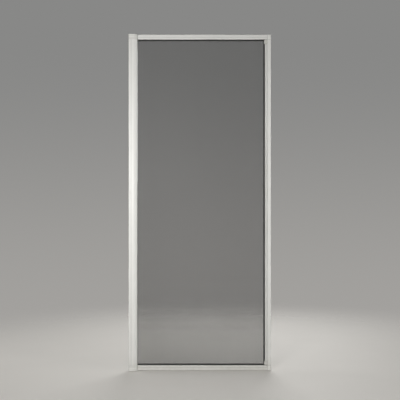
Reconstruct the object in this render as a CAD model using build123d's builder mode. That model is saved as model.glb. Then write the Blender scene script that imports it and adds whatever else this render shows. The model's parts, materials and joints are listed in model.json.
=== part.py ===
"""A retractable insect screen door, fixed to the face of a door frame.

An upright cassette on the left holds a sprung roller. The screen cloth leaves it through a slot,
runs between pile strips in a top and a bottom rail, and ends in a pull bar. The bar slides to the
right until its nose enters the jamb profile, where two magnet strips hold it.

X runs to the right as seen by someone in the room, Y towards the wall and Z up. The origin is at
the foot of the cassette's mounting face, midway across the cassette. Sizes are in millimetres.
"""

from build123d import *
import os

# The whole frame, and how it divides
frame_width = 890
frame_height = 2100
rail_height = 30
rail_depth = 30
cassette_width = 54
cassette_depth = 56
jamb_width = 22
bar_width = 16

# The rails' section, with a fine groove along the front
rail_wall = 1.5
rail_edge_radius = 2
rail_groove_from_edge = 13
rail_groove_width = 1.2
rail_groove_depth = 0.6

# The cassette's section: housing, cover, and the lap under the seam between them. The front turns
# through the nose into a slanted flat, and both outer corners are rounded alike
cassette_wall = 1.5
cassette_corner_radius = 6
cassette_nose_radius = 24
cassette_flat_width = 18
cassette_flat_drop = 11
seam_from_left = 16
seam_gap = 1.2
lap_width = 5
lap_thickness = 1.4

# The mounting profile behind the cassette
mounting_wall = 1.6
mounting_lip = 7.6
mounting_lip_wall = 1.4
wall_gap = 0.5

# The slot that the cloth runs in, and the pile strips on both sides of it
slot_width = 6.2
lip_wall = 1.4
pocket_side = 1.0
pocket_lip = 0.8
pocket_overhang = 1.0
pocket_play = 0.1
backing_width = 4.8
backing_thickness = 0.9
pile_width = 2.4

# The cloth, its sewn edge tapes, the turns left on the roller, and the plain grid of openings that
# stands for the weave
cloth_thickness = 0.5
cloth_into_rail = 12
cloth_play = 0.1
tape_width = 21
bar_tape_width = 11
tape_thickness = 1.0
mesh_columns = 8
mesh_rows = 20
mesh_strand = 34
wound_cloth = 1.0
wound_play = 0.2

# The roller tube, its end plugs and their pins
tube_radius = 10
tube_wall = 1.2
tube_past_cloth = 4
pin_radius = 4
pin_play = 0.05
pin_length = 8
pin_end_play = 0.5
plug_flange = 1.5
plug_length = 18
plug_play = 0.2

# The cassette's end caps
cap_floor = 4
cap_wall = 2
cap_edge_chamfer = 1.2
cap_grooves = (10, 22)
cap_groove_width = 1.2
cap_groove_depth = 0.8
boss_radius = 8
rim_length = 10
rim_wall = 1.6
rim_play = 0.3
cloth_slot_play = 1

# The lugs of the end caps and corner blocks, inside the ends of the rails
lug_length = 20
lug_height = 18
lug_play = 0.3

# The pull bar, its grips, its nose and the boss that grips the cloth's spline
bar_depth = 27
bar_wall = 1.4
bar_edge_radius = 2
bar_play = 0.5
bar_core_depth = 18.8
grip_radius = 9
grip_depth = 2.5
nose_reach = 10
nose_depth = 16
groove_radius = 2.6
groove_inset = 4
groove_slit = 1.8
spline_radius = 2.2

# The pull bar's end shoes, whose runners ride inside the rails
shoe_height = 22
shoe_overhang = 5
shoe_to_rail = 5
shoe_plug_length = 20
neck_thickness = 2.4
neck_to_pile = 0.4
neck_width = 8
runner_width = 8
runner_height = 6
runner_play = 1.5
open_gap = 5

# The magnet strips and the slots that hold them
magnet_width = 8
magnet_thickness = 2.1
magnet_face_width = 6
magnet_slot_lip = 0.8
magnet_play = 0.15
magnet_proud = 0.2
magnet_gap = 1.0

# The jamb profile, its clipped cover and the blocks at its ends
jamb_wall = 1.6
cover_wall = 1.2
cover_return = 12
cover_radius = 4
block_wall = 2
tongue_length = 12
tongue_play = 0.3

# Screw holes through the mounting profile and the jamb, into the door frame
screw_hole_radius = 2.25
screw_from_end = 150
screw_rows = 4
jamb_screw_from_edge = 5

# Places across the frame
cassette_left = -cassette_width / 2
cassette_right = cassette_width / 2
seam_x = cassette_left + seam_from_left
frame_right = cassette_left + frame_width
jamb_left = frame_right - jamb_width
bar_left = jamb_left - bar_width
bar_right = jamb_left - bar_play
grip_x = bar_left + bar_width / 2
nose_end = jamb_left + nose_reach
groove_x = bar_left + groove_inset
cloth_end = groove_x - spline_radius - cloth_play
bar_travel = bar_left - shoe_overhang - cassette_right - open_gap

# Places between the room and the wall
front_y = -cassette_depth
screen_y = -rail_depth / 2
pocket_floor = slot_width / 2 + pocket_lip + backing_thickness + pocket_play
pocket_back = pocket_floor + lip_wall
pocket_width = backing_width + 2 * pocket_play + 2 * pocket_side
pile_gap = neck_thickness / 2 + neck_to_pile
web_front = screen_y + pocket_floor
web_back = screen_y + pocket_back
roll_radius = tube_radius + wound_play + wound_cloth
roller_y = screen_y - cloth_thickness / 2 - cloth_play - roll_radius

# Places up the frame, each with its twin in the upper half
profile_length = frame_height - 2 * rail_height
middle = Plane.XY.offset(frame_height / 2)
cloth_low = rail_height - cloth_into_rail
tube_low = cloth_low - tube_past_cloth
pin_low = tube_low - plug_flange - pin_length
boss_top = tube_low - plug_flange - pin_end_play
shoe_low = rail_height + shoe_to_rail
bar_low = shoe_low + shoe_height
bar_length = frame_height - 2 * bar_low
runner_top = rail_height - pocket_width - runner_play
screw_step = (frame_height - 2 * screw_from_end) / (screw_rows - 1)
screw_heights = [screw_from_end + row * screw_step for row in range(screw_rows)]

# The magnets' slots, in the nose of the pull bar and in the jamb's core
slot_depth = magnet_thickness + 2 * magnet_play
nose_core_right = nose_end - magnet_slot_lip - slot_depth - bar_wall
jamb_core_left = nose_end + magnet_gap + 2 * magnet_proud
jamb_core_right = frame_right - cover_wall
jamb_slot_back = jamb_core_left + magnet_slot_lip + slot_depth + jamb_wall


def fill(corner, opposite, mode=Mode.ADD):
    """A rectangle between two opposite corners, in the sketch that is open."""
    with Locations(((corner[0] + opposite[0]) / 2, (corner[1] + opposite[1]) / 2)):
        Rectangle(abs(opposite[0] - corner[0]), abs(opposite[1] - corner[1]), mode=mode)


def cassette_face(inset):
    """The cassette's outline from its open back, drawn in by inset at the front and sides."""
    left, front, right = cassette_left + inset, front_y + inset, cassette_right - inset
    slant = (cassette_flat_width ** 2 + cassette_flat_drop ** 2) ** 0.5
    lost = inset * (cassette_flat_width + cassette_flat_drop - slant)
    nose = (right - cassette_flat_width + lost / cassette_flat_drop, front)
    edge = (right, front + cassette_flat_drop - lost / cassette_flat_width)
    corner = cassette_corner_radius - inset
    with BuildSketch(mode=Mode.PRIVATE) as outline:
        with BuildLine():
            sides = FilletPolyline(
                (left, 0), (left, front), nose, edge, (right, 0),
                radius=(corner, cassette_nose_radius - inset, corner),
            )
            Line(sides @ 1, sides @ 0)
        make_face()
    return outline.sketch


def jamb_face(left, inset):
    """The jamb's outline right of left, drawn in by inset at the front and on the right."""
    with BuildSketch(mode=Mode.PRIVATE) as outline:
        fill((left, -rail_depth + inset), (frame_right - inset, 0))
        corners = outline.vertices().group_by(Axis.Y)[0].sort_by(Axis.X)
        fillet(corners[-1], cover_radius - inset)
    return outline.sketch


def pile_pocket(side, at):
    """The channel that holds one pile strip: side is 1 behind the cloth and -1 in front of it,
    and at(across, inward) is the sketch's point at those distances from the cloth and the mouth."""
    mouth, floor, back = (side * size for size in (slot_width / 2, pocket_floor, pocket_back))
    lip = mouth + side * pocket_lip
    fill(at(floor, 0), at(back, pocket_width))
    for edge, inner, tip in (
        (0, pocket_side, pocket_side + pocket_overhang),
        (pocket_width, pocket_width - pocket_side, pocket_width - pocket_side - pocket_overhang),
    ):
        fill(at(mouth, edge), at(floor, inner))
        fill(at(mouth, edge), at(lip, tip))


def pile_strip(side, at):
    """A woven backing with its pile standing towards the cloth."""
    floor, top = side * pocket_floor, side * (pocket_floor - backing_thickness)
    backing_start = pocket_side + pocket_play
    pile_start = (pocket_width - pile_width) / 2
    fill(at(floor, backing_start), at(top, backing_start + backing_width))
    fill(at(top, pile_start), at(side * pile_gap, pile_start + pile_width))


def in_rail(across, inward):
    """A point of a rail's section, which is drawn with the rail's mouth down at height 0."""
    return (screen_y + across, inward)


def in_cassette(across, inward):
    """A point of the cassette's section, inward from its side towards the screen."""
    return (cassette_right - (cassette_wall - pocket_side) - inward, screen_y + across)


def magnet_slot(end_x, facing):
    """Cuts a slot for a magnet strip into a face at end_x that looks along X by facing."""
    throat = end_x - facing * magnet_slot_lip
    floor = throat - facing * slot_depth
    half = magnet_face_width / 2 + magnet_play
    fill((end_x, screen_y - half), (throat, screen_y + half), mode=Mode.SUBTRACT)
    half = magnet_width / 2 + magnet_play
    fill((throat, screen_y - half), (floor, screen_y + half), mode=Mode.SUBTRACT)


def magnet_section(end_x, facing):
    """A magnet strip seated in such a slot, with its narrow face a little proud."""
    throat = end_x - facing * (magnet_slot_lip + magnet_play)
    floor = throat - facing * magnet_thickness
    face = end_x + facing * magnet_proud
    fill((floor, screen_y - magnet_width / 2), (throat, screen_y + magnet_width / 2))
    fill((throat, screen_y - magnet_face_width / 2), (face, screen_y + magnet_face_width / 2))


def rail_lugs():
    """The sections of the two lugs that enter the end of the bottom rail, beside its pockets."""
    low = rail_wall + lug_play
    for side in (-1, 1):
        near = screen_y + side * (pocket_back + lug_play)
        far = screen_y + side * (rail_depth / 2 - rail_wall - lug_play)
        fill((near, low), (far, low + lug_height))


# The mounting profile: a shallow channel screwed to the door frame, that the cassette snaps over
with BuildPart() as mounting_profile:
    with BuildSketch():
        half = cassette_width / 2 - cassette_wall
        fill((-half, -mounting_wall), (half, 0))
        for lip_side in (-1, 1):
            fill((lip_side * half, -mounting_lip), (lip_side * (half - mounting_lip_wall), 0))
    extrude(amount=frame_height)
    with BuildSketch(Plane.XZ):
        with Locations(*[(0, height) for height in screw_heights]):
            Circle(screw_hole_radius)
    extrude(amount=mounting_wall, both=True, mode=Mode.SUBTRACT)

# The cassette's housing: back web, left side, the front as far as the seam, and the rear slot lip
with BuildPart() as cassette_housing:
    with BuildSketch(Plane.XY.offset(rail_height)):
        add(cassette_face(0))
        add(cassette_face(cassette_wall), mode=Mode.SUBTRACT)
        fill((seam_x, front_y), (cassette_right, screen_y + slot_width / 2), mode=Mode.SUBTRACT)
        fill((cassette_left, -wall_gap), (cassette_right, 0), mode=Mode.SUBTRACT)
        half = cassette_width / 2 - cassette_wall
        fill((-half, web_front), (half, web_back))
        lap_face = front_y + cassette_wall
        fill((seam_x - lap_width, lap_face), (seam_x + lap_width, lap_face + lap_thickness))
        pile_pocket(1, in_cassette)
    extrude(amount=profile_length)

# The cassette's cover: the front past the seam, the round nose and the front slot lip
with BuildPart() as cassette_cover:
    with BuildSketch(Plane.XY.offset(rail_height)):
        add(cassette_face(0))
        add(cassette_face(cassette_wall), mode=Mode.SUBTRACT)
        slot_front = screen_y - slot_width / 2
        fill((seam_x + seam_gap, front_y), (cassette_right, slot_front), mode=Mode.INTERSECT)
        pile_pocket(-1, in_cassette)
    extrude(amount=profile_length)

# An end cap: a cup with the cassette's outline, closed at the wall side by the web's line, with two
# fine grooves around it, a slot for the cloth's edge, a rim that plugs into the cassette's profiles,
# a bearing for the roller's pin and two lugs that carry the end of the rail
with BuildPart() as cassette_bottom_cap:
    with BuildSketch():
        add(cassette_face(0))
    extrude(amount=rail_height)
    foot_edges = cassette_bottom_cap.edges().group_by(Axis.Z)[0]
    chamfer(foot_edges.filter_by(lambda edge: edge.center().Y < -wall_gap), cap_edge_chamfer)
    for groove_height in cap_grooves:
        with BuildSketch(Plane.XY.offset(groove_height)):
            add(cassette_face(0))
            add(cassette_face(cap_groove_depth), mode=Mode.SUBTRACT)
            fill((cassette_left, -rail_depth), (cassette_right, 0), mode=Mode.SUBTRACT)
        extrude(amount=cap_groove_width, mode=Mode.SUBTRACT)
    with BuildSketch(Plane.XY.offset(cap_floor)):
        add(cassette_face(cap_wall))
        fill((cassette_left, front_y), (cassette_right, web_front), mode=Mode.INTERSECT)
    extrude(amount=rail_height, mode=Mode.SUBTRACT)
    with BuildSketch():
        half = cassette_width / 2 - cassette_wall
        fill((-half, web_back), (half, 0))
        fill((cassette_left, -wall_gap), (cassette_right, 0))
    extrude(amount=rail_height, mode=Mode.SUBTRACT)
    with BuildSketch(Plane.XY.offset(cloth_low - cloth_slot_play)):
        half = slot_width / 2
        fill((cassette_right - 2 * cap_wall, screen_y - half), (cassette_right, screen_y + half))
    extrude(amount=rail_height, mode=Mode.SUBTRACT)
    rim_outer = cassette_wall + lap_thickness + rim_play
    for rim_low, outline in ((rail_height, rim_outer), (rail_height - rim_length, cap_wall)):
        with BuildSketch(Plane.XY.offset(rim_low)):
            add(cassette_face(outline))
            add(cassette_face(rim_outer + rim_wall), mode=Mode.SUBTRACT)
            rim_right = cassette_right - pocket_width - 2 * rim_wall
            fill((cassette_left, front_y), (rim_right, web_front - rim_play), mode=Mode.INTERSECT)
        extrude(amount=rim_length)
    with BuildSketch(Plane.XY.offset(cap_floor)):
        with Locations((0, roller_y)):
            Circle(boss_radius)
    extrude(amount=boss_top - cap_floor)
    with BuildSketch(Plane.XY.offset(pin_low - pin_end_play)):
        with Locations((0, roller_y)):
            Circle(pin_radius + pin_play)
    extrude(amount=boss_top - pin_low + pin_end_play, mode=Mode.SUBTRACT)
    with BuildSketch(Plane.YZ.offset(cassette_right)):
        rail_lugs()
    extrude(amount=lug_length)

with BuildPart() as cassette_top_cap:
    add(cassette_bottom_cap.part)
    mirror(about=middle, mode=Mode.REPLACE)

# The roller tube, its end plugs, and the turns of cloth left on it while the screen is shut
with BuildPart() as roller_tube:
    with BuildSketch(Plane.XY.offset(tube_low)):
        with Locations((0, roller_y)):
            Circle(tube_radius)
            Circle(tube_radius - tube_wall, mode=Mode.SUBTRACT)
    extrude(amount=frame_height - 2 * tube_low)

with BuildPart() as roller_bottom_plug:
    for low, radius, length in (
        (pin_low, pin_radius, pin_length),
        (pin_low + pin_length, tube_radius, plug_flange),
        (tube_low, tube_radius - tube_wall - plug_play, plug_length),
    ):
        with BuildSketch(Plane.XY.offset(low)):
            with Locations((0, roller_y)):
                Circle(radius)
        extrude(amount=length)

with BuildPart() as roller_top_plug:
    add(roller_bottom_plug.part)
    mirror(about=middle, mode=Mode.REPLACE)

with BuildPart() as wound_screen:
    with BuildSketch(Plane.XY.offset(cloth_low)):
        with Locations((0, roller_y)):
            Circle(roll_radius)
            Circle(tube_radius + wound_play, mode=Mode.SUBTRACT)
    extrude(amount=frame_height - 2 * cloth_low)

# The cloth, drawn across the doorway, with thicker tapes along its top, its bottom and the pull bar
with BuildPart() as screen_cloth:
    with BuildSketch(Plane.YZ):
        half = cloth_thickness / 2
        cloth_high = frame_height - cloth_low
        fill((screen_y - half, cloth_low), (screen_y + half, cloth_high))
        for edge, inner in (
            (cloth_low, cloth_low + tape_width),
            (cloth_high, cloth_high - tape_width),
        ):
            fill((screen_y - half, edge), (screen_y - half + tape_thickness, inner))
    extrude(amount=cloth_end)
    tape_left = cloth_end - bar_tape_width
    with BuildSketch(Plane.XY.offset(cloth_low)):
        fill((tape_left, screen_y - half), (cloth_end, screen_y - half + tape_thickness))
    extrude(amount=cloth_high - cloth_low)
    mesh_step = (tape_left - cassette_right + mesh_strand) / mesh_columns
    mesh_rise = (cloth_high - cloth_low - 2 * tape_width + mesh_strand) / mesh_rows
    with BuildSketch(Plane.XZ.offset(-screen_y)):
        with Locations(((cassette_right + tape_left) / 2, frame_height / 2)):
            with GridLocations(mesh_step, mesh_rise, mesh_columns, mesh_rows):
                Rectangle(mesh_step - mesh_strand, mesh_rise - mesh_strand)
    extrude(amount=tape_thickness, both=True, mode=Mode.SUBTRACT)

# The rails, with their mouths towards the doorway and the groove along their fronts
rail_mouth = Plane((cassette_right, 0, frame_height - rail_height), (0, 1, 0), (1, 0, 0))
with BuildPart() as top_rail:
    with BuildSketch(rail_mouth) as rail:
        fill((-rail_depth, 0), (0, rail_height))
        fillet(rail.vertices().group_by(Axis.X)[0], rail_edge_radius)
        fill((-rail_depth + rail_wall, lip_wall), (-rail_wall, rail_height - rail_wall), mode=Mode.SUBTRACT)
        fill((screen_y - pocket_back, 0), (screen_y + pocket_back, lip_wall), mode=Mode.SUBTRACT)
        for side in (-1, 1):
            pile_pocket(side, in_rail)
        groove_top = rail_height - rail_groove_from_edge
        fill((-rail_depth, groove_top - rail_groove_width), (-rail_depth + rail_groove_depth, groove_top),
             mode=Mode.SUBTRACT)
    extrude(amount=jamb_left - cassette_right)

with BuildPart() as bottom_rail:
    add(top_rail.part)
    mirror(about=middle, mode=Mode.REPLACE)

# The pile strips: two in the cassette's slot and two in each rail
piles = {}
for place, side in (("front", -1), ("rear", 1)):
    with BuildPart() as strip:
        with BuildSketch(Plane.XY.offset(rail_height)):
            pile_strip(side, in_cassette)
        extrude(amount=profile_length)
    piles[f"cassette_{place}_pile"] = strip.part
    with BuildPart() as strip:
        with BuildSketch(rail_mouth):
            pile_strip(side, in_rail)
        extrude(amount=jamb_left - cassette_right)
    piles[f"top_{place}_pile"] = strip.part
    with BuildPart() as low_strip:
        add(strip.part)
        mirror(about=middle, mode=Mode.REPLACE)
    piles[f"bottom_{place}_pile"] = low_strip.part

# The pull bar: a hollow profile with finger grips front and back, and a nose towards the jamb
with BuildPart() as pull_bar:
    with BuildSketch(Plane.XY.offset(bar_low)) as bar_section:
        half = bar_depth / 2
        fill((bar_left, screen_y - half), (bar_right, screen_y + half))
        fillet(bar_section.vertices(), bar_edge_radius)
        for side in (-1, 1):
            with Locations((grip_x, screen_y + side * (half + grip_radius - grip_depth))):
                Circle(grip_radius, mode=Mode.SUBTRACT)
        half = nose_depth / 2
        fill((grip_x, screen_y - half), (nose_end, screen_y + half))
        half = bar_core_depth / 2
        fill((bar_left + bar_wall, screen_y - half), (bar_right - bar_wall, screen_y + half),
             mode=Mode.SUBTRACT)
        half = nose_depth / 2 - bar_wall
        fill((grip_x, screen_y - half), (nose_core_right, screen_y + half), mode=Mode.SUBTRACT)
        with Locations((groove_x, screen_y)):
            Circle(groove_radius + bar_wall)
            Circle(groove_radius, mode=Mode.SUBTRACT)
        half = groove_slit / 2
        fill((bar_left, screen_y - half), (groove_x, screen_y + half), mode=Mode.SUBTRACT)
        magnet_slot(nose_end, 1)
    extrude(amount=bar_length)

with BuildPart() as cloth_spline:
    with BuildSketch(Plane.XY.offset(bar_low)):
        with Locations((groove_x, screen_y)):
            Circle(spline_radius)
    extrude(amount=bar_length)

with BuildPart() as bar_magnet:
    with BuildSketch(Plane.XY.offset(bar_low)):
        magnet_section(nose_end, 1)
    extrude(amount=bar_length)

# An end shoe: a cap slit for the cloth, a plug inside the bar, and a neck with a runner that the
# rail's pile pockets keep from lifting out
with BuildPart() as bar_bottom_shoe:
    with BuildSketch(Plane.XY.offset(shoe_low)) as shoe_section:
        half = bar_depth / 2
        fill((bar_left - shoe_overhang, screen_y - half), (bar_right, screen_y + half))
        fillet(shoe_section.vertices(), bar_edge_radius)
        half = nose_depth / 2
        fill((grip_x, screen_y - half), (nose_end, screen_y + half))
        half = groove_slit / 2
        fill((bar_left - shoe_overhang, screen_y - half), (groove_x, screen_y + half), mode=Mode.SUBTRACT)
    extrude(amount=shoe_height)
    with BuildSketch(Plane.XY.offset(bar_low)):
        half = nose_depth / 2 - bar_wall - plug_play
        plug_left = groove_x + groove_radius + bar_wall + plug_play
        fill((plug_left, screen_y - half), (nose_core_right - plug_play, screen_y + half))
    extrude(amount=shoe_plug_length)
    neck_left = groove_x + spline_radius
    for low, high, width in (
        (runner_top, shoe_low, neck_thickness),
        (runner_top - runner_height, runner_top, runner_width),
    ):
        with BuildSketch(Plane.XY.offset(low)):
            fill((neck_left, screen_y - width / 2), (neck_left + neck_width, screen_y + width / 2))
        extrude(amount=high - low)

with BuildPart() as bar_top_shoe:
    add(bar_bottom_shoe.part)
    mirror(about=middle, mode=Mode.REPLACE)

# The jamb profile: a flange screwed to the door frame and a hollow core with the magnet's slot
with BuildPart() as jamb_profile:
    with BuildSketch(Plane.XY.offset(rail_height)):
        add(jamb_face(jamb_core_left, cover_wall))
        add(jamb_face(jamb_core_left + jamb_wall, cover_wall + jamb_wall), mode=Mode.SUBTRACT)
        fill((jamb_left, -jamb_wall), (frame_right, 0))
        cover_end = -rail_depth + cover_return
        fill((jamb_core_right - jamb_wall, cover_end), (frame_right, -jamb_wall))
        half = magnet_width / 2 + magnet_play + jamb_wall
        fill((jamb_core_left, screen_y - half), (jamb_slot_back, screen_y + half))
        magnet_slot(jamb_core_left, -1)
    extrude(amount=profile_length)
    with BuildSketch(Plane.XZ):
        with Locations(*[(jamb_left + jamb_screw_from_edge, height) for height in screw_heights]):
            Circle(screw_hole_radius)
    extrude(amount=jamb_wall, both=True, mode=Mode.SUBTRACT)

# The jamb's cover, clipped over the front of the core and around its outer corner
with BuildPart() as jamb_cover:
    with BuildSketch(Plane.XY.offset(rail_height)):
        add(jamb_face(jamb_left, 0))
        add(jamb_face(jamb_left, cover_wall), mode=Mode.SUBTRACT)
        fill((jamb_left, cover_end), (frame_right, 0), mode=Mode.SUBTRACT)
    extrude(amount=profile_length)

with BuildPart() as jamb_magnet:
    with BuildSketch(Plane.XY.offset(rail_height)):
        magnet_section(jamb_core_left, -1)
    extrude(amount=profile_length)

# A corner block: a hollow moulding that ends the jamb, with a tongue in its core and lugs in the rail
with BuildPart() as bottom_corner:
    with BuildSketch():
        add(jamb_face(jamb_left, 0))
    extrude(amount=rail_height)
    foot_edges = bottom_corner.edges().group_by(Axis.Z)[0]
    chamfer(foot_edges.filter_by(lambda edge: edge.center().Y < -rail_depth / 2), cap_edge_chamfer)
    with BuildSketch(Plane.XY.offset(block_wall)):
        fill((jamb_left + block_wall, -rail_depth + 2 * block_wall), (frame_right - 2 * block_wall, 0))
    extrude(amount=rail_height - 2 * block_wall, mode=Mode.SUBTRACT)
    with BuildSketch(Plane.XY.offset(rail_height - block_wall)):
        tongue_right = jamb_core_right - jamb_wall - tongue_play
        fill((jamb_slot_back + tongue_play, screen_y - nose_depth / 2),
             (tongue_right, screen_y + nose_depth / 2))
    extrude(amount=block_wall + tongue_length)
    with BuildSketch(Plane.YZ.offset(jamb_left)):
        rail_lugs()
    extrude(amount=-lug_length)

with BuildPart() as top_corner:
    add(bottom_corner.part)
    mirror(about=middle, mode=Mode.REPLACE)

pieces = {
    "mounting_profile": mounting_profile.part,
    "cassette_housing": cassette_housing.part,
    "cassette_cover": cassette_cover.part,
    "cassette_top_cap": cassette_top_cap.part,
    "cassette_bottom_cap": cassette_bottom_cap.part,
    "roller_tube": roller_tube.part,
    "roller_top_plug": roller_top_plug.part,
    "roller_bottom_plug": roller_bottom_plug.part,
    "wound_screen": wound_screen.part,
    "screen_cloth": screen_cloth.part,
    "top_rail": top_rail.part,
    "bottom_rail": bottom_rail.part,
    "pull_bar": pull_bar.part,
    "cloth_spline": cloth_spline.part,
    "bar_magnet": bar_magnet.part,
    "bar_top_shoe": bar_top_shoe.part,
    "bar_bottom_shoe": bar_bottom_shoe.part,
    "jamb_profile": jamb_profile.part,
    "jamb_cover": jamb_cover.part,
    "jamb_magnet": jamb_magnet.part,
    "top_corner": top_corner.part,
    "bottom_corner": bottom_corner.part,
    **piles,
}
os.makedirs("parts", exist_ok=True)
for name, piece in pieces.items():
    piece.label = name
    export_step(piece, f"parts/{name}.step")
print("the pull bar slides", bar_travel, "mm")
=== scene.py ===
# %% [markdown]
# # A retractable screen door
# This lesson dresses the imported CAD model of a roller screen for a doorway. The rigid profiles
# already have their true shape, so they keep it and only get their finishes here. What CAD can't
# hold is made new: the woven cloth, its sewn edge tapes, the turns left on the roller and the
# fibres of the pile. Everything is in metres, in the frame that the CAD model uses, so a new
# piece goes where the drawing says and needs no fitting.

# %% Load the frame
import json
import math
import random

import bmesh
import bpy
from mathutils import Matrix, Vector


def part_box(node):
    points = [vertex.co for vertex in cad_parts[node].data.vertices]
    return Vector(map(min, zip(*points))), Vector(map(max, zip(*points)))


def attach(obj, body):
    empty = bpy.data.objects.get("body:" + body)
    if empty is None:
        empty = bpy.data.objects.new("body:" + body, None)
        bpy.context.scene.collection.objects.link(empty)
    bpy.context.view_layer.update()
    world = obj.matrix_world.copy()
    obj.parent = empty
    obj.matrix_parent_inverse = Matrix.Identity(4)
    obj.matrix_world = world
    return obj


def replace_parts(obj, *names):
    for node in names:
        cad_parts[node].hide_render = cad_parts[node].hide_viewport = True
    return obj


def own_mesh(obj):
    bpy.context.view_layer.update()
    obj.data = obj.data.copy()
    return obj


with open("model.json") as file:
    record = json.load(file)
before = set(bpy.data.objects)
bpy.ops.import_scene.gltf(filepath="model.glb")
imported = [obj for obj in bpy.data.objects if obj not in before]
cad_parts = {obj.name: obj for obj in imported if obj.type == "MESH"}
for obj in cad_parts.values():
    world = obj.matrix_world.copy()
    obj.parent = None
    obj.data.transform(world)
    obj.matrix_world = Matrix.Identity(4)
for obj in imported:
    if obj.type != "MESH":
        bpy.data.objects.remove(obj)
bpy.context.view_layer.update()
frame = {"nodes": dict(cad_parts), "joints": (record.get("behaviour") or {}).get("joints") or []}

nodes = frame["nodes"]

# %% [markdown]
# ## The sizes that the new pieces share
# X runs along the screen from the roller's axis, Y away from the viewer and Z up. The cloth hangs
# in one plane, half way through the rails, and 12 mm of it runs inside each rail. These places
# could be typed in again, but then the cloth would stay behind if a profile changed. So they are
# read from the CAD pieces, and rounded, because a mesh holds its points in single precision.

# %% Read the shared sizes
MM = 0.001
X, Y, Z = range(3)


def corners(name):
    """The lowest and the highest corner of a CAD piece, to a hundredth of a millimetre."""
    return [[round(value, 5) for value in corner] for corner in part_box(name)]


cloth_near, cloth_far = corners("screen_cloth")
CLOTH_LOW, CLOTH_HIGH, CLOTH_END = cloth_near[Z], cloth_far[Z], cloth_far[X]
cloth_height = CLOTH_HIGH - CLOTH_LOW
SCREEN_Y = -15 * MM
tube_near, tube_far = corners("roller_tube")
ROLLER_Y = (tube_near[Y] + tube_far[Y]) / 2
rail_near, rail_far = corners("top_rail")
RAIL_START, RAIL_END, RAIL_HIGH = rail_near[X], rail_far[X], rail_near[Z]
RAIL_LOW = corners("bottom_rail")[1][Z]
BAR_LOW, BAR_HIGH = [corner[Z] for corner in corners("pull_bar")]
BAR_TRAVEL = frame["joints"][0]["range_m"][1]
MIDDLE_X = (corners("cassette_housing")[0][X] + corners("jamb_profile")[1][X]) / 2
print(f"the cloth is cut {CLOTH_END:.3f} by {cloth_height:.3f} m, the bar slides {BAR_TRAVEL} m")

# %% [markdown]
# ## The camera
# The photograph looks straight at the screen from about five and a half metres, a little above
# its middle. A long lens keeps the uprights parallel. The picture was cropped off centre, and a
# small lens shift does the same here, where turning the camera would make the uprights lean.

# %% Place the camera
PICTURE_SIDE = 400
LENS_IN_PIXELS = 880
CROP_IN_PIXELS = (-5.2, -15)
SENSOR = 36
EYE = (0.451, -5.537, 1.159)
lens = bpy.data.cameras.new("front_view")
lens.sensor_width = SENSOR
lens.lens = SENSOR * LENS_IN_PIXELS / PICTURE_SIDE
lens.shift_x, lens.shift_y = [pixels / PICTURE_SIDE for pixels in CROP_IN_PIXELS]
camera = bpy.data.objects.new("front_view", lens)
camera.location = EYE
camera.rotation_euler = (math.radians(90), 0, 0)
bpy.context.scene.collection.objects.link(camera)
bpy.context.scene.camera = camera
bpy.context.scene.view_settings.view_transform = "Standard"
print(f"lens {lens.lens:.1f} mm")

# %% [markdown]
# ## Sums on sockets
# A finish is a network of nodes, and most of its nodes are plain arithmetic. Drawing each by hand
# hides the idea, so a small class wraps an output socket and lets Python's own signs add the Math
# nodes. Any other node comes from one method: its settings are set first, then its sockets.

# %% Wrap a socket so that it can be used in sums
class Wire:
    """An output socket that takes part in sums like a number."""

    def __init__(self, finish, socket):
        self.finish, self.socket = finish, socket

    def __add__(self, other):
        return self.finish.math("ADD", self, other)

    def __sub__(self, other):
        return self.finish.math("SUBTRACT", self, other)

    def __rsub__(self, other):
        return self.finish.math("SUBTRACT", other, self)

    def __mul__(self, other):
        return self.finish.math("MULTIPLY", self, other)

    def __abs__(self):
        return self.finish.math("ABSOLUTE", self)

    __radd__, __rmul__ = __add__, __mul__


class Finish:
    """The nodes of one material or of the world."""

    def __init__(self, name, owner=None):
        self.owner = owner or bpy.data.materials.new(name)
        self.owner.use_nodes = True
        self.tree = self.owner.node_tree
        self.shader = self.tree.nodes.get("Principled BSDF")

    def feed(self, socket, value):
        if isinstance(value, Wire):
            self.tree.links.new(value.socket, socket)
        else:
            socket.default_value = value

    def node(self, kind, settings=None, sockets=None, result=0):
        made = self.tree.nodes.new("ShaderNode" + kind)
        for name, value in (settings or {}).items():
            setattr(made, name, value)
        for name, value in (sockets or {}).items():
            self.feed(made.inputs[name], value)
        return Wire(self, made.outputs[result])

    def math(self, operation, *numbers):
        return self.node("Math", {"operation": operation}, dict(enumerate(numbers)))

    def set(self, **sockets):
        for name, value in sockets.items():
            self.feed(self.shader.inputs[name.replace("_", " ")], value)
        return self.owner


print("sockets can be added, subtracted and multiplied")

# %% [markdown]
# ## The parts that every finish uses
# No surface of the real screen is one flat colour. Grain and colour drift come from noise on
# Object coordinates, which stay with the piece when it slides and have the true scale on every
# piece. An image would need a file and an unwrapped mesh. Stretching the coordinates before the
# noise draws it out into lines, as on an extrusion.

# %% Make helpers for colour, noise and relief
def shade(red, green, blue):
    """A colour written as on a screen, from 0 to 255, turned into the light that it stands for."""
    share = [value / 255 for value in (red, green, blue)]
    return [s / 12.92 if s <= 0.04045 else ((s + 0.055) / 1.055) ** 2.4 for s in share] + [1.0]


def place(finish):
    return finish.node("TexCoord", result="Object")


def split_axes(finish, where):
    """The X, Y and Z of a place, each to be used in sums."""
    first = finish.node("SeparateXYZ", {}, {"Vector": where})
    return [Wire(finish, output) for output in first.socket.node.outputs]


def noise(finish, where, per_metre, detail=2.0, stretch=(1, 1, 1)):
    """Soft random values from 0 to 1, per_metre to the metre, drawn out where stretch is under 1."""
    spread = [per_metre * s for s in stretch]
    drawn = finish.node("Mapping", {}, {"Vector": where, "Scale": spread})
    return finish.node("TexNoise", {}, {"Vector": drawn, "Scale": 1.0, "Detail": detail})


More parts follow.
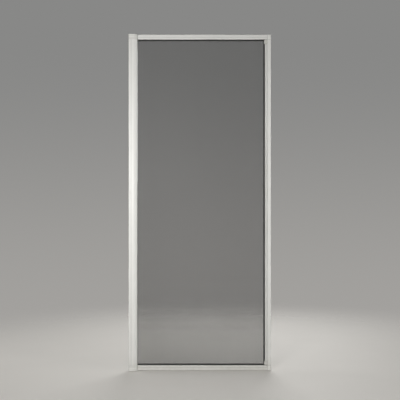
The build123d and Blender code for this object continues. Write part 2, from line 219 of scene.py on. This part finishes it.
def step(finish, value, start, end):
    """Rises softly from 0 to 1 while value goes from start to end."""
    settings = {"interpolation_type": "SMOOTHSTEP"}
    return finish.node("MapRange", settings, {"Value": value, "From Min": start, "From Max": end})


def mix(finish, share, first, second):
    """The first colour, going over to the second as share goes from 0 to 1."""
    return finish.node("Mix", {"data_type": "RGBA"}, {0: share, 6: first, 7: second}, result=2)


def relief(finish, height, depth):
    """Bumps as deep as depth, in metres, where height goes from 0 to 1."""
    return finish.node("Bump", {}, {"Height": height, "Distance": depth}, result="Normal")


print("off-white stands for", [round(value, 3) for value in shade(236, 235, 230)])

# %% [markdown]
# ## Painted shade and soil along the joints
# Where two pieces meet, and in every fine groove, the narrow gap lies in shade and wiping leaves a
# thin line of dirt. From a few steps away that dark line is what makes a joint visible, and the
# finish paints it: painted shade of the gap, mixed with soil. It could be a thin strip of its own,
# but the real thing has no such piece. Each joint is a plane across one axis, so the finish draws a
# line wherever a point is close to it. The same function serves metal and plastic.

# %% Make the helper for joints
# The dark colour of joints and grooves: painted shade in the gaps, mixed with soil.
SOIL_AND_SHADE = shade(128, 125, 118)
JOINT, GROOVE = 0.9 * MM, 0.75 * MM
FULL_SHADE_AND_SOIL = 0.6  # The share of a line's half width over which it is at its darkest.


def joint_shade_and_soil(finish, axes, joints):
    """1 along each joint, given as an axis, a place and a half width, and 0 away from them. It marks
    where painted shade and soil darken the colour.
    """
    shade_and_soil = 0.0
    for axis, spot, half_width in joints:
        line = 1 - step(finish, abs(axes[axis] - spot), half_width * FULL_SHADE_AND_SOIL, half_width)
        shade_and_soil = finish.math("MAXIMUM", line, shade_and_soil)
    return shade_and_soil


rail_joints = [(X, end, JOINT) for end in (RAIL_START, RAIL_END)]
upright_joints = [(Z, end, JOINT) for end in (RAIL_LOW, RAIL_HIGH)]
shoe_joints = [(Z, end, JOINT) for end in (BAR_LOW, BAR_HIGH)]
rail_grooves = [(Z, height * MM, GROOVE) for height in (16.4, 2083.6)]
cap_grooves = [(Z, height * MM, GROOVE) for height in (10.6, 22.6, 2077.4, 2089.4)]
print("joints at", [spot for _, spot, _ in rail_joints + upright_joints + shoe_joints])

# %% [markdown]
# ## The powder coat
# The profiles are aluminium extrusions with an off-white polyester powder baked on. Close up the
# skin is like fine orange peel, and the die has left very faint lines along the length. Near the
# floor it holds a little dust. One function makes the coat for uprights and for level profiles; the
# lines run another way, and the level coat is a shade darker, which is painted shade. It also makes
# the coat of the cassette, which has a lap seam along its front, and the darker one of the pull bar:
# its darker colour and its grip groove are painted shade, and its grip is dulled by hands. Joints,
# grooves and the seam get painted shade mixed with soil. The four are variants of one finish, so
# they stay alike where the real ones are alike.

# %% Name what the coat is made of
UPRIGHT, LEVEL = (1, 1, 0.004), (0.004, 1, 1)
CLEAN, DULLER = (237, 237, 234), (230, 230, 226)
PEEL_DEPTH = 0.05 * MM
# How far joints and the cassette's seam go towards that dark colour: painted shade mixed with soil.
JOINT_SHADE_AND_SOIL, SEAM_SHADE_AND_SOIL = 0.62, 0.70
DUST, DUST_HEIGHT, MOST_DUST = shade(176, 170, 158), 0.11, 0.42
SEAM_X, SEAM_FRONT, SEAM_FADE = -11 * MM, -50 * MM, 2 * MM
GRIP_X, GRIP_FADE = 833 * MM, (3.5 * MM, 6.0 * MM)
HAND_HEIGHT, HAND_FADE = 1.08, (0.08, 0.5)
# Along all of the grip groove the coat is darkened as painted shade with a little soil; at hand
# height soil is added.
GRIP_SHADE_AND_SOIL, HAND_SOIL = 0.10, 0.30
print(f"hands reach for the bar at {HAND_HEIGHT} m")

# %% Make the powder coat
def seam_shade_and_soil(coat, axes):
    """The painted shade and soil in the lap seam, on the front of the cassette only."""
    in_front = 1 - step(coat, axes[Y], SEAM_FRONT - SEAM_FADE, SEAM_FRONT + SEAM_FADE)
    return joint_shade_and_soil(coat, axes, [(X, SEAM_X, JOINT)]) * in_front * SEAM_SHADE_AND_SOIL


def grip_shade_and_hand_soil(coat, axes, wiped):
    """Painted shade with a little soil along all of the grip, and more soil at the height of a hand.
    """
    reach = 1 - step(coat, abs(axes[Z] - HAND_HEIGHT), *HAND_FADE)
    grip = 1 - step(coat, abs(axes[X] - GRIP_X), *GRIP_FADE)
    return grip * (GRIP_SHADE_AND_SOIL + reach * wiped * HAND_SOIL)


def powder_coat(name, along, joints, painted_shade_factor=1.0, seam=False, shaded_grip_and_handled=False):
    coat = Finish(name)
    where = place(coat)
    axes = split_axes(coat, where)
    peel = noise(coat, where, per_metre=900)
    lines = noise(coat, where, per_metre=1400, stretch=along)
    drift = noise(coat, where, per_metre=2.5)
    wiped = noise(coat, where, per_metre=11, detail=4.0)
    low_down = 1 - step(coat, axes[Z], 0.0, DUST_HEIGHT)
    dust = low_down * noise(coat, where, per_metre=45) * MOST_DUST
    # Joints, the cassette's seam and the bar's grip are darkened with painted shade mixed with soil.
    shade_and_soil = joint_shade_and_soil(coat, axes, joints) * JOINT_SHADE_AND_SOIL
    if seam:
        shade_and_soil = coat.math("MAXIMUM", shade_and_soil, seam_shade_and_soil(coat, axes))
    if shaded_grip_and_handled:
        shade_and_soil = coat.math("MAXIMUM", shade_and_soil, grip_shade_and_hand_soil(coat, axes, wiped))
    # A factor under 1 darkens the coat's colours as painted shade.
    coat_colours_in_painted_shade = [shade(*(value * painted_shade_factor for value in colour)) for colour in (CLEAN, DULLER)]
    dusty = mix(coat, dust, mix(coat, drift, *coat_colours_in_painted_shade), DUST)
    return coat.set(
        Base_Color=mix(coat, shade_and_soil, dusty, SOIL_AND_SHADE),
        Roughness=0.32 + peel * 0.1 + wiped * 0.08 + dust * 0.5 + shade_and_soil * 0.3,
        Normal=relief(coat, peel * 0.6 + lines * 0.4, PEEL_DEPTH),
    )


coat_cassette = powder_coat("powder_coat_cassette", UPRIGHT, upright_joints, seam=True)
coat_upright = powder_coat("powder_coat_upright", UPRIGHT, upright_joints)
# The bar's and the level profiles' darker colours are painted shade, not another powder.
coat_bar = powder_coat("powder_coat_bar", UPRIGHT, shoe_joints, painted_shade_factor=0.965, shaded_grip_and_handled=True)
coat_level = powder_coat("powder_coat_level", LEVEL, rail_joints + rail_grooves, painted_shade_factor=0.985)
print("made", [coat.name for coat in (coat_cassette, coat_upright, coat_bar, coat_level)])

# %% [markdown]
# ## Moulded plastic
# The end caps, corner blocks and shoes are injection moulded in the coat's colour. Their skin is
# finer and duller than the powder, with the even grain of an eroded mould and faint flow marks.
# The shoes get a greyer copy of that colour, which is painted shade, and caps and corners get
# painted shade mixed with soil along their joints and grooves. They could share the coat, but then
# a cap would look like a slice of the profile. The plugs and the spline inside are the same plastic
# in near black.

# %% Make the moulded plastic
GRAIN_DEPTH, DARK_GRAIN_DEPTH = 0.04 * MM, 0.03 * MM


def moulded(name, light, dark, grain_depth, dullness, joints=()):
    plastic = Finish(name)
    where = place(plastic)
    grain = noise(plastic, where, per_metre=2600, detail=1.0)
    flow = noise(plastic, where, per_metre=22, detail=3.0)
    colour = mix(plastic, flow, light, dark)
    # Joints and grooves are darkened with painted shade mixed with soil.
    if joints:
        shade_and_soil = joint_shade_and_soil(plastic, split_axes(plastic, where), joints)
        colour = mix(plastic, shade_and_soil * JOINT_SHADE_AND_SOIL, colour, SOIL_AND_SHADE)
    return plastic.set(
        Base_Color=colour,
        Roughness=dullness + grain * 0.14,
        Normal=relief(plastic, grain, grain_depth),
    )


# Each is a light and a dark colour, the depth of the grain and the dullness.
PALE = shade(235, 235, 231), shade(227, 227, 222), GRAIN_DEPTH, 0.42
# The shoes' greyer colours are the pale plastic darkened as painted shade.
PALE_IN_PAINTED_SHADE = shade(217, 216, 211), shade(208, 207, 202), GRAIN_DEPTH, 0.44
NEAR_BLACK = shade(44, 44, 43), shade(34, 34, 34), DARK_GRAIN_DEPTH, 0.38
cap_plastic = moulded("cap_plastic", *PALE, joints=upright_joints + cap_grooves)
corner_plastic = moulded("corner_plastic", *PALE, joints=upright_joints + rail_joints)
shoe_plastic = moulded("shoe_plastic", *PALE_IN_PAINTED_SHADE, joints=shoe_joints)
dark_plastic = moulded("dark_plastic", *NEAR_BLACK)
print("made", [made.name for made in (cap_plastic, corner_plastic, shoe_plastic, dark_plastic)])

# %% [markdown]
# ## Bare aluminium and magnet strip
# The roller tube is mill-finish aluminium with drawn lines along it. The magnets are rubber filled
# with ferrite powder, which looks like dull graphite with fine specks. Both show only through the
# slots and when the screen is open, and two short networks of noise are enough for them.

# %% Make the two
def bare_aluminium(name):
    metal = Finish(name)
    where = place(metal)
    lines = noise(metal, where, per_metre=1800, stretch=UPRIGHT)
    haze = noise(metal, where, per_metre=9, detail=4.0)
    return metal.set(
        Metallic=1.0,
        Base_Color=mix(metal, haze, shade(214, 216, 219), shade(192, 194, 198)),
        Roughness=0.26 + lines * 0.12 + haze * 0.08,
        Normal=relief(metal, lines, 0.02 * MM),
    )


def ferrite_rubber(name):
    rubber = Finish(name)
    where = place(rubber)
    specks = step(rubber, noise(rubber, where, per_metre=3800, detail=0.0), 0.62, 0.72)
    return rubber.set(
        Base_Color=mix(rubber, specks, shade(46, 44, 43), shade(88, 86, 84)),
        Roughness=0.62 - specks * 0.2,
        Normal=relief(rubber, noise(rubber, where, per_metre=1200), 0.04 * MM),
    )


tube_metal = bare_aluminium("bare_aluminium")
magnet_rubber = ferrite_rubber("ferrite_rubber")
print("made", tube_metal.name, "and", magnet_rubber.name)

# %% [markdown]
# ## Dress the CAD pieces
# A CAD piece keeps its mesh and its place. Only the material in its slots changes. One table from
# finish to pieces shows at a glance what is made of what.

# %% Give every kept piece its finish
FINISHES = {
    coat_cassette: "cassette_housing cassette_cover",
    coat_upright: "mounting_profile jamb_profile jamb_cover",
    coat_bar: "pull_bar",
    coat_level: "top_rail bottom_rail",
    cap_plastic: "cassette_top_cap cassette_bottom_cap",
    corner_plastic: "top_corner bottom_corner",
    shoe_plastic: "bar_top_shoe bar_bottom_shoe",
    dark_plastic: "roller_top_plug roller_bottom_plug cloth_spline",
    tube_metal: "roller_tube",
    magnet_rubber: "bar_magnet jamb_magnet",
}
for finish, names in FINISHES.items():
    for name in names.split():
        for material_slot in nodes[name].material_slots:
            material_slot.material = finish
print("dressed", sum(len(names.split()) for names in FINISHES.values()), "CAD pieces")

# %% [markdown]
# ## Turning a bmesh into a piece
# Each new piece is drawn in a bmesh, in place, and then becomes an object at the origin. A closed
# shape gets its normals worked out again, so that all its faces look outwards.

# %% Make the helpers for new pieces
def finish_piece(shape, name, material, body="frame"):
    """Turns a bmesh into a piece that rides on a body, and prints its size."""
    bmesh.ops.recalc_face_normals(shape, faces=shape.faces)
    mesh = bpy.data.meshes.new(name)
    shape.to_mesh(mesh)
    shape.free()
    mesh.materials.append(material)
    piece = bpy.data.objects.new(name, mesh)
    bpy.context.scene.collection.objects.link(piece)
    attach(piece, body)
    print(f"{name}: {len(mesh.vertices)} points, {len(mesh.polygons)} faces")
    return piece


def block(shape, low, high):
    """Adds a box between two corners to a bmesh."""
    low, high = Vector(low), Vector(high)
    size = Matrix.Diagonal((*(high - low), 1.0))
    centre = Matrix.Translation((low + high) / 2)
    bmesh.ops.create_cube(shape, size=1.0, matrix=centre @ size)


def only(kind, made):
    """The points, or the edges, among all that an operator made."""
    return [item for item in made if isinstance(item, kind)]


print("a block goes from one corner to the other")

# %% [markdown]
# ## The woven cloth
# The cloth is glass yarn in a charcoal coat, woven square and baked so that the crossings lock.
# A picture of a weave on a flat sheet would look solid from the side and would shimmer, so every
# yarn is real: a closed bar with four sides. Uprights lie a hair in front of the level ones, as
# two layers of yarn do.
#
# A loom never spaces its yarns quite evenly, and a perfect grid would beat against the grid of
# the camera's pixels, so each gap is a little wider or narrower than the last. The seeds are
# fixed, which gives the same cloth each time.

# %% Make the yarn's finish
def coated_yarn(name):
    yarn = Finish(name)
    where = place(yarn)
    drift = noise(yarn, where, per_metre=6, detail=3.0)
    rub = noise(yarn, where, per_metre=700)
    return yarn.set(
        Base_Color=mix(yarn, drift * 0.7 + rub * 0.3, shade(54, 54, 52), shade(38, 38, 37)),
        Roughness=0.5 + rub * 0.2,
        Normal=relief(yarn, rub, 0.04 * MM),
    )


yarn_coat = coated_yarn("coated_yarn")
print("made", yarn_coat.name)

# %% Weave the cloth
YARN, PITCH, LAYER = 0.40 * MM, 1.27 * MM, 0.05 * MM
UNEVEN = 0.08
UPRIGHT_SEED, LEVEL_SEED = 5, 8


def yarn_places(length, start, seed):
    """The middles of the yarns along a length, each a little more or less than a pitch apart."""
    hand = random.Random(seed)
    gaps = [1 + hand.uniform(-UNEVEN, UNEVEN) for _ in range(round(length / PITCH))]
    share = length / sum(gaps)
    places = []
    for gap in gaps:
        places.append(start + gap * share / 2)
        start += gap * share
    return places


weave = bmesh.new()
columns = yarn_places(CLOTH_END, 0.0, UPRIGHT_SEED)
rows = yarn_places(cloth_height, CLOTH_LOW, LEVEL_SEED)
for across in columns:
    block(
        weave,
        (across - YARN / 2, SCREEN_Y - LAYER - YARN / 2, CLOTH_LOW),
        (across + YARN / 2, SCREEN_Y - LAYER + YARN / 2, CLOTH_HIGH),
    )
for up in rows:
    block(
        weave,
        (0, SCREEN_Y + LAYER - YARN / 2, up - YARN / 2),
        (CLOTH_END, SCREEN_Y + LAYER + YARN / 2, up + YARN / 2),
    )
cloth = finish_piece(weave, "woven_cloth", yarn_coat)
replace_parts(cloth, "screen_cloth")
open_share = (1 - YARN * len(columns) / CLOTH_END) * (1 - YARN * len(rows) / cloth_height)
print(f"{len(columns)} upright and {len(rows)} level yarns, {open_share:.0%} open")

# %% [markdown]
# ## The edge tapes
# A black tape is folded over the cloth's edges and sewn down, so that they don't fray in the pile.
# The tapes at the top and bottom roll up with the cloth. The one along the pull bar is held by
# the bar and slides with it, so it is a piece of its own, and the level tapes end at it. Ribs
# and thread could be bump alone, but the stitches stand out from the tape, so each is modelled.

# %% Make the tape's finish
def woven_tape(name):
    cover = Finish(name)
    where = place(cover)
    ribs = cover.node(
        "TexWave",
        {"wave_type": "BANDS", "bands_direction": "DIAGONAL"},
        {"Vector": where, "Scale": 260.0, "Distortion": 0.6, "Detail": 1.0},
    )
    fuzz = noise(cover, where, per_metre=1500)
    return cover.set(
        Base_Color=mix(cover, ribs * 0.6 + fuzz * 0.4, shade(30, 30, 29), shade(48, 48, 46)),
        Roughness=0.78,
        Normal=relief(cover, ribs * 0.8 + fuzz * 0.2, 0.12 * MM),
    )


tape_weave = woven_tape("woven_tape")
print("made", tape_weave.name)

# %% Make the helpers for tapes and seams
TAPE_HALF, TAPE_ROUNDING = 0.42 * MM, 0.2 * MM
STITCH, STITCH_GAP, THREAD = 3.0 * MM, 1.2 * MM, 0.44 * MM


def tape(name, low, high, body):
    """A folded band with soft edges, between two corners in the plane of the cloth."""
    shape = bmesh.new()
    block(shape, low, high)
    bmesh.ops.bevel(
        shape,
        geom=shape.edges,
        offset=TAPE_ROUNDING,
        offset_type="OFFSET",
        affect="EDGES",
        segments=2,
        profile=0.5,
        material=-1,
    )
    return finish_piece(shape, name, tape_weave, body)


def seam(name, start, end, body):
    """A row of stitches on both faces of a tape, from start to end."""
    shape = bmesh.new()
    run = Vector(end) - Vector(start)
    count = int(run.length / (STITCH + STITCH_GAP))
    along = run.normalized()
    size = along * STITCH + (Vector((1, 1, 1)) - along) * THREAD
    for stitch in range(count):
        middle = Vector(start) + run * (stitch + 0.5) / count
        for face in (-TAPE_HALF, TAPE_HALF):
            spot = middle + Vector((0, face, 0))
            block(shape, spot - size / 2, spot + size / 2)
    return finish_piece(shape, name, dark_plastic, body)


print(f"a stitch every {(STITCH + STITCH_GAP) / MM:.1f} mm")

# %% Cut and sew the tapes
TAPE_WIDTH, BAR_TAPE_WIDTH = 21 * MM, 11 * MM
BAR_TAPE_HALF = TAPE_HALF + 0.06 * MM
SEAM_FROM_EDGE = 2.5 * MM
HEM_END = CLOTH_END - BAR_TAPE_WIDTH
hems = []
for name, low, high, seam_height in (
    ("bottom_tape", CLOTH_LOW, CLOTH_LOW + TAPE_WIDTH, CLOTH_LOW + TAPE_WIDTH - SEAM_FROM_EDGE),
    ("top_tape", CLOTH_HIGH - TAPE_WIDTH, CLOTH_HIGH, CLOTH_HIGH - TAPE_WIDTH + SEAM_FROM_EDGE),
):
    near, far = SCREEN_Y - TAPE_HALF, SCREEN_Y + TAPE_HALF
    hems.append(tape(name, (0, near, low), (HEM_END, far, high), "frame"))
    line = (0, SCREEN_Y, seam_height), (HEM_END, SCREEN_Y, seam_height)
    hems.append(seam(name + "_seam", *line, "frame"))
bar_tape = tape(
    "bar_tape",
    (HEM_END, SCREEN_Y - BAR_TAPE_HALF, CLOTH_LOW),
    (CLOTH_END, SCREEN_Y + BAR_TAPE_HALF, CLOTH_HIGH),
    "pull_bar",
)
print("tapes:", [piece.name for piece in hems + [bar_tape]])

# %% [markdown]
# ## The cloth and its tapes get meshes of their own
# As the bar slides, the real cloth winds up on the roller. A mesh can't wind up as a joint moves.
# Here the woven cloth, its level tapes and their seams each get a mesh of their own, and for each
# the small share of its own width that is still out when the bar stands at the cassette is worked
# out and printed.

# %% Give the cloth and its level tapes meshes of their own
for piece, width in [(cloth, CLOTH_END)] + [(hem, HEM_END) for hem in hems]:
    still_out = 1 - BAR_TRAVEL / width
    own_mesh(piece)
    print(f"{piece.name}: {still_out:.1%} of its width is out when the screen is open")

# %% [markdown]
# ## The turns on the roller
# A few turns stay on the roller when the screen is shut. Rings inside each other would be easier,
# but they leave no end for the cloth to run out from. So a spiral is made as it is wound: an
# upright edge is extruded, turned a little about the roller and let out a little, again and
# again, until it reaches the plane of the cloth. Then it gets its thickness.

# %% Wind the turns
TURNS, STEPS_PER_TURN = 2, 40
INNER_TURN, OUTER_TURN = 10.45 * MM, abs(SCREEN_Y - ROLLER_Y)
WOUND_THICKNESS = 0.36 * MM
roll = bmesh.new()
axis = Vector((0, ROLLER_Y, 0))
steps = TURNS * STEPS_PER_TURN
let_out = (OUTER_TURN / INNER_TURN) ** (1 / steps)
turn = Matrix.Rotation(-math.tau / STEPS_PER_TURN, 3, "Z")
grow = Matrix.Translation(axis) @ Matrix.Diagonal((let_out, let_out, 1, 1))
foot, head = [roll.verts.new((0, ROLLER_Y + INNER_TURN, end)) for end in (CLOTH_LOW, CLOTH_HIGH)]
edge = [roll.edges.new((foot, head))]
for _ in range(steps):
    made = bmesh.ops.extrude_edge_only(roll, edges=edge)["geom"]
    points = only(bmesh.types.BMVert, made)
    edge = [e for e in only(bmesh.types.BMEdge, made) if all(end in points for end in e.verts)]
    bmesh.ops.rotate(roll, verts=points, cent=axis, matrix=turn)
    bmesh.ops.transform(roll, verts=points, matrix=grow @ Matrix.Translation(-axis))
bmesh.ops.recalc_face_normals(roll, faces=roll.faces)
bmesh.ops.solidify(roll, geom=roll.faces, thickness=WOUND_THICKNESS)
print(f"wound {steps} steps out to {OUTER_TURN / MM:.2f} mm from the axis")

# %% [markdown]
# ## The finish of the turns
# On the roll the yarns lie so close that no light comes through, and the weave is only a fine
# rib across the winding. That is a sine of the height, one wave for each level yarn, as relief.

# %% Finish the turns
def wound_weave(name):
    cover = Finish(name)
    where = place(cover)
    thread = cover.math("SINE", split_axes(cover, where)[Z] * (math.tau / PITCH))
    fuzz = noise(cover, where, per_metre=900)
    return cover.set(
        Base_Color=mix(cover, fuzz, shade(52, 52, 50), shade(36, 36, 35)),
        Roughness=0.6,
        Normal=relief(cover, thread * 0.4 + fuzz * 0.3, 0.1 * MM),
    )


wound = finish_piece(roll, "wound_cloth", wound_weave("wound_weave"))
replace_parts(wound, "wound_screen")
wound_length = math.tau * TURNS * (INNER_TURN + OUTER_TURN) / 2
print(f"{wound_length:.3f} m of cloth stays on the roller")

# %% [markdown]
# ## The pile strips
# On both sides of the cloth a strip of pile keeps insects out and guides it. Real pile is rows of
# fibre tufts in a woven backing. Hair particles would give single fibres, far too many for a strip
# this thin to be seen, so a tuft is one small cone. A short stretch is made tuft by tuft, each
# leaning its own way, and is then copied along the strip.

# %% Make the pile's finish
def fibre(name):
    pile = Finish(name)
    where = place(pile)
    strands = noise(pile, where, per_metre=4200, detail=1.0)
    return pile.set(
        Base_Color=mix(pile, strands, shade(40, 40, 39), shade(74, 73, 70)),
        Roughness=0.9,
        Normal=relief(pile, strands, 0.15 * MM),
    )


pile_fibre = fibre("pile_fibre")
print("made", pile_fibre.name)

# %% Make a stretch of tufts
TUFT_PITCH = 1.15 * MM
TUFT_ROWS = (-0.62 * MM, 0.62 * MM)
TUFT_FOOT, TUFT_TIP = 0.56 * MM, 0.50 * MM
THINNEST_TIP = 0.7
TUFT_LEAN = math.radians(7)
TUFT_SIDES = 5
lean = random.Random(11)


def tufts(shape, start, count, height):
    """Adds count tufts in each row from start, along X, standing up along Z."""
    for tuft in range(count):
        for row_offset in TUFT_ROWS:
            tilt = Matrix.Rotation(lean.uniform(-TUFT_LEAN, TUFT_LEAN), 4, "Y")
            spot = Matrix.Translation((start + (tuft + 0.5) * TUFT_PITCH, row_offset, 0))
            bmesh.ops.create_cone(
                shape,
                cap_ends=True,
                segments=TUFT_SIDES,
                radius1=TUFT_FOOT,
                radius2=TUFT_TIP * lean.uniform(THINNEST_TIP, 1.0),
                depth=height,
                matrix=spot @ tilt @ Matrix.Translation((0, 0, height / 2)),
            )


print(f"a tuft every {TUFT_PITCH / MM:.2f} mm in {len(TUFT_ROWS)} rows")

# %% [markdown]
# ## Where the strips stand
# A strip is easiest to make lying along X with its tufts up. Then it is turned and moved to where
# its CAD piece is: the backing lies against the floor of the pocket, and the tufts reach as far
# towards the cloth as the CAD piece does.

# %% Stand the six strips in their pockets
BACKING, BACKING_HALF = 0.9 * MM, 2.4 * MM
FOOT_IN_BACKING = 0.02 * MM
TUFTS_IN_STRETCH = 24


def pile_strip(name, node_name, out):
    """The strip that stands for a CAD piece, with its tufts pointing out of the pocket."""
    low, high = [Vector(corner) for corner in corners(node_name)]
    size = high - low
    along = Vector((1, 0, 0)) if size.x > size.z else Vector((0, 0, 1))
    length, height = size.dot(along), size.y - BACKING
    count = int(length / TUFT_PITCH)
    shape = bmesh.new()
    tufts(shape, 0, TUFTS_IN_STRETCH, height)
    stretch = list(shape.verts) + list(shape.edges) + list(shape.faces)
    for copy in range(1, count // TUFTS_IN_STRETCH):
        made = bmesh.ops.duplicate(shape, geom=stretch)["geom"]
        step_along = (copy * TUFTS_IN_STRETCH * TUFT_PITCH, 0, 0)
        bmesh.ops.translate(shape, verts=only(bmesh.types.BMVert, made), vec=step_along)
    rest = count % TUFTS_IN_STRETCH
    tufts(shape, (count - rest) * TUFT_PITCH, rest, height)
    block(shape, (0, -BACKING_HALF, -BACKING), (length, BACKING_HALF, FOOT_IN_BACKING))
    start = (low + high - along * length) / 2
    start.y = low.y + BACKING if out.y > 0 else high.y - BACKING
    turn = Matrix((along, out.cross(along), out)).transposed().to_4x4()
    bmesh.ops.transform(shape, verts=shape.verts, matrix=Matrix.Translation(start) @ turn)
    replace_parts(finish_piece(shape, name, pile_fibre), node_name)


sides = {"front": Vector((0, 1, 0)), "rear": Vector((0, -1, 0))}
for side, towards_cloth in sides.items():
    for carrier in ("top", "bottom", "cassette"):
        pile_strip(f"{carrier}_{side}_tufts", f"{carrier}_{side}_pile", towards_cloth)
print("strips:", 3 * len(sides))

# %% [markdown]
# ## The floor
# The floor is a plain pale disc, 3 mm under the frame, because a real screen is screwed to its
# doorway and doesn't touch the floor: the gap leaves a thin shadow. Further out the disc lets the
# world show through, so it has no edge and no horizon. To the camera it also glows a little, which
# makes the background paler without more light on the screen.

# %% Tell rays that look from rays that light
SEEN_BY = ("Is Camera Ray", "Is Glossy Ray", "Is Transmission Ray")


def looks(finish):
    """1 for a ray that shows a thing to the eye, in a mirror or through glass, and 0 for others."""
    camera_ray, glossy_ray, glass_ray = [finish.node("LightPath", result=kind) for kind in SEEN_BY]
    return camera_ray + glossy_ray + glass_ray


print("looking rays:", SEEN_BY)

# %% Lay the floor
FLOOR_RADIUS, FLOOR_SIDES = 7.0, 96
FLOOR_GAP = 3 * MM
FLOOR_FADE = (0.6, 3.4)
FLOOR_PAINT = shade(226, 224, 219), shade(221, 219, 214)
FLOOR_GLOW = shade(88, 86, 83)
NO_GLOW = (0, 0, 0, 1)


def floor_finish(name):
    paint = Finish(name)
    where = place(paint)
    centred = paint.node("Mapping", {}, {"Vector": where, "Location": (-MIDDLE_X, 0, 0)})
    away = paint.node("VectorMath", {"operation": "LENGTH"}, {0: centred}, result="Value")
    paint.set(
        Base_Color=mix(paint, noise(paint, where, per_metre=3), *FLOOR_PAINT),
        Roughness=0.7,
        Emission_Color=mix(paint, looks(paint), NO_GLOW, FLOOR_GLOW),
        Emission_Strength=1.0,
    )
    solid = Wire(paint, paint.shader.outputs[0])
    clear = paint.node("BsdfTransparent")
    both = paint.node("MixShader", {}, {0: step(paint, away, *FLOOR_FADE), 1: solid, 2: clear})
    paint.feed(paint.tree.nodes["Material Output"].inputs["Surface"], both)
    return paint.owner


disc = bmesh.new()
centre = Matrix.Translation((MIDDLE_X, 0, -FLOOR_GAP))
bmesh.ops.create_circle(disc, cap_ends=True, radius=FLOOR_RADIUS, segments=FLOOR_SIDES, matrix=centre)
floor_mesh = bpy.data.meshes.new("floor")
disc.to_mesh(floor_mesh)
disc.free()
floor_mesh.materials.append(floor_finish("pale_floor"))
floor = bpy.data.objects.new("floor", floor_mesh)
bpy.context.scene.collection.objects.link(floor)
print(f"floor {FLOOR_RADIUS * 2:.0f} m across")

# %% [markdown]
# ## The world
# The world is two things at once. Looking rays see a quiet grey backdrop, a little darker further
# up, against which both the pale frame and the dark cloth read. All other rays get a soft even
# light, which fills the shadows. Light Path tells the two apart, so that the backdrop's shade can
# be chosen without a change to the light.

# %% Light the world
AMBIENT, AMBIENT_COLOUR = 0.15, (1.0, 0.99, 0.975, 1)
BACKDROP_LOW, BACKDROP_HIGH = shade(163, 161, 158), shade(136, 136, 135)
BACKDROP_FADE = (-0.16, 0.16)
bpy.context.scene.world = bpy.context.scene.world or bpy.data.worlds.new("studio")
studio = Finish("studio", bpy.context.scene.world)
view_up = split_axes(studio, studio.node("TexCoord", result="Generated"))[Z]
backdrop = mix(studio, step(studio, view_up, *BACKDROP_FADE), BACKDROP_LOW, BACKDROP_HIGH)
soft = studio.node("Background", {}, {"Color": AMBIENT_COLOUR, "Strength": AMBIENT})
shown = studio.node("Background", {}, {"Color": backdrop, "Strength": 1.0})
both = studio.node("MixShader", {}, {0: looks(studio), 1: soft, 2: shown})
studio.feed(studio.tree.nodes["World Output"].inputs["Surface"], both)
print("the world lights with", AMBIENT)

# %% [markdown]
# ## The lamps
# In the photograph soft light comes from the front left and fades across the screen: the cassette
# is nearly white and the far corner is grey. A sun would light both ends alike, so softboxes do
# it, which fall off with distance. Two in front have a limited spread: one aims at the cassette,
# the other at the lower half. One on each side opens the shadows of the profiles' edges, and one
# behind keeps the back readable.

# %% Hang the lamps
LAMP_COLOUR = (1.0, 0.992, 0.98)


def softbox(name, spot, target, size, watts, spread=180):
    """A rectangular lamp at spot, turned to target, with its light held within spread degrees."""
    lamp = bpy.data.lights.new(name, "AREA")
    lamp.shape = "RECTANGLE"
    lamp.size, lamp.size_y = size
    lamp.spread = math.radians(spread)
    lamp.energy = watts
    lamp.color = LAMP_COLOUR
    box = bpy.data.objects.new(name, lamp)
    box.location = spot
    box.rotation_euler = (Vector(target) - Vector(spot)).to_track_quat("-Z", "Y").to_euler()
    bpy.context.scene.collection.objects.link(box)
    print(f"{name}: {watts} W at {spot}")


softbox("cassette_light", (-0.35, -3.3, 1.3), (-0.2, 0, 1.3), (0.7, 0.7), watts=13.4, spread=88)
softbox("front_light", (0.35, -3.6, 1.05), (0.3, 0, 0.8), (1.2, 1.2), watts=8.5, spread=110)
softbox("right_light", (2.7, -1.7, 1.2), (0.5, 0, 1.0), (1.4, 1.4), watts=12)
softbox("left_light", (-2.4, 0.5, 1.3), (0.0, 0, 1.0), (1.2, 1.6), watts=12)
softbox("rear_light", (1.0, 3.2, 1.9), (0.4, 0, 1.0), (2.2, 1.6), watts=58)
